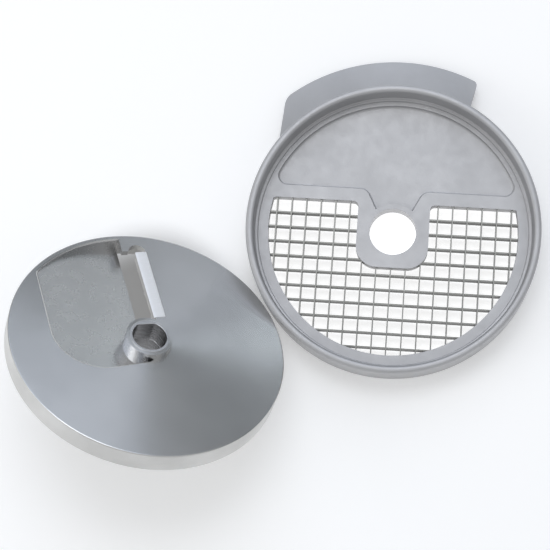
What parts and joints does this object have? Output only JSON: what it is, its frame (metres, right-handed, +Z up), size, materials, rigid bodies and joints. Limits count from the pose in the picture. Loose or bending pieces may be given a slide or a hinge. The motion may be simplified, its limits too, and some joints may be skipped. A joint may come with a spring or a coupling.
{
  "type": "vegetable dicer",
  "caption": "dicing kit: round slicing disc with sloping ramp, straight blade and long drive hub, beside a round ring holding a square lattice of dicing blades",
  "frame": {"origin": "middle of the kit's footprint, on the table it lies on", "axes": "+Z up, normal to the ring's base; +X along the cross blades, away from the disc; +Y along the long blades, towards the apron"},
  "size_m": [0.3584, 0.3118, 0.1233],
  "materials": {
    "grid_casting": "matte cast",
    "lattice_steel": "satin ground",
    "disc_casting": "turned and polished",
    "hub_steel": "bright turned",
    "knife_steel": "bright ground",
    "screw_steel": "satin"
  },
  "bodies": {
    "grid": {"grid_frame": "grid_casting", "cross_blade_01_left": "lattice_steel", "cross_blade_01_right": "lattice_steel", "cross_blade_02_left": "lattice_steel", "cross_blade_02_right": "lattice_steel", "cross_blade_03_left": "lattice_steel", "cross_blade_03_right": "lattice_steel", "cross_blade_04_left": "lattice_steel", "cross_blade_04_right": "lattice_steel", "cross_blade_05": "lattice_steel", "cross_blade_06": "lattice_steel", "cross_blade_07": "lattice_steel", "cross_blade_08": "lattice_steel", "cross_blade_09": "lattice_steel", "cross_blade_10": "lattice_steel", "long_blade_01": "lattice_steel", "long_blade_02": "lattice_steel", "long_blade_03": "lattice_steel", "long_blade_04": "lattice_steel", "long_blade_05": "lattice_steel", "long_blade_06": "lattice_steel", "long_blade_07": "lattice_steel", "long_blade_08": "lattice_steel", "long_blade_09": "lattice_steel", "long_blade_10": "lattice_steel", "long_blade_11": "lattice_steel", "long_blade_12": "lattice_steel", "long_blade_13": "lattice_steel", "long_blade_14": "lattice_steel", "long_blade_15": "lattice_steel", "long_blade_16": "lattice_steel", "long_blade_17": "lattice_steel"},
    "disc": {"slicing_disc": "disc_casting", "drive_hub": "hub_steel", "drive_bush": "hub_steel", "slicing_blade": "knife_steel", "blade_screws": "screw_steel"}
  },
  "joints": [
    {"name": "disc_spin", "type": "hinge", "parent": "grid", "child": "disc", "pos_m": [-0.08368, -0.06703, 0.06791], "axis": [0.2683, 0.5221, 0.8096], "continuous": true}
  ]
}
